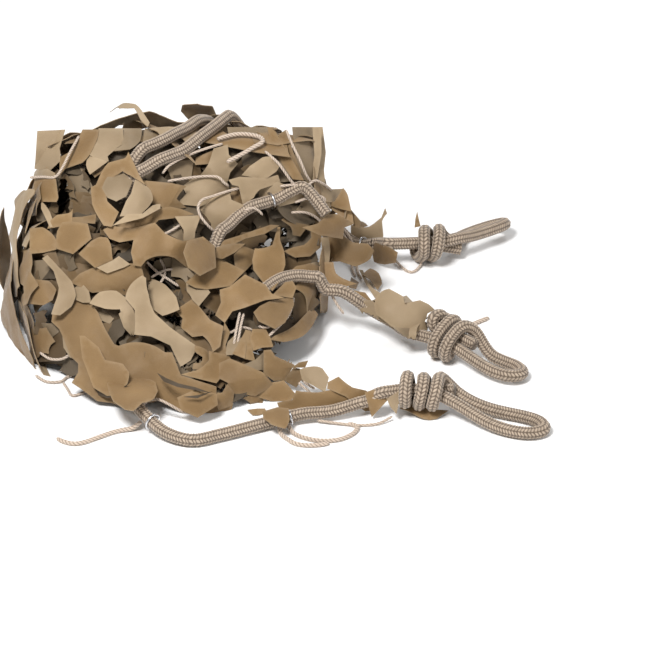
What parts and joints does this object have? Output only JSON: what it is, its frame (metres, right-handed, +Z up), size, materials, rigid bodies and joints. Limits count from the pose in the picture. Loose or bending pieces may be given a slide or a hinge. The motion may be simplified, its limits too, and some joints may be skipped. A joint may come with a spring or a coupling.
{
  "type": "camouflage netting",
  "caption": "Crumpled heap of leaf-cut tan camouflage netting, folded over itself, with braided edge rope and knotted end loops laid out to one side.",
  "frame": {"origin": "a point near the middle of the heap on the flat underside of its bottom layer", "axes": "+X towards the knotted end loops, -Y to the front edge rope, +Z up"},
  "size_m": [0.4326, 0.3489, 0.1516],
  "materials": {
    "garnish_cloth": "coated cloth, tan on one side and pale khaki on the other, satin",
    "braided_rope": "braided cord, taupe and beige strands",
    "twisted_twine": "twisted twine, pale beige",
    "clip_steel": "bright wire"
  },
  "bodies": {
    "root": {"garnish_net": "garnish_cloth", "garnish_sleeve": "garnish_cloth", "garnish_leaf_front": "garnish_cloth", "garnish_leaf_left": "garnish_cloth", "garnish_leaf_back": "garnish_cloth", "garnish_front_strip": "garnish_cloth", "garnish_strip_knot": "garnish_cloth", "rope_front": "braided_rope", "rope_middle": "braided_rope", "rope_back": "braided_rope", "rope_top_near": "braided_rope", "rope_top_far": "braided_rope", "rope_arch": "braided_rope", "end_loop_front": "braided_rope", "end_loop_middle": "braided_rope", "end_loop_back": "braided_rope", "clip_front_left": "clip_steel", "clip_front_right": "clip_steel", "clip_back": "clip_steel", "clip_arch": "clip_steel", "twine_top": "twisted_twine", "twine_front": "twisted_twine", "twine_curl": "twisted_twine", "twine_frayed": "twisted_twine", "twine_knot": "twisted_twine"}
  },
  "joints": []
}
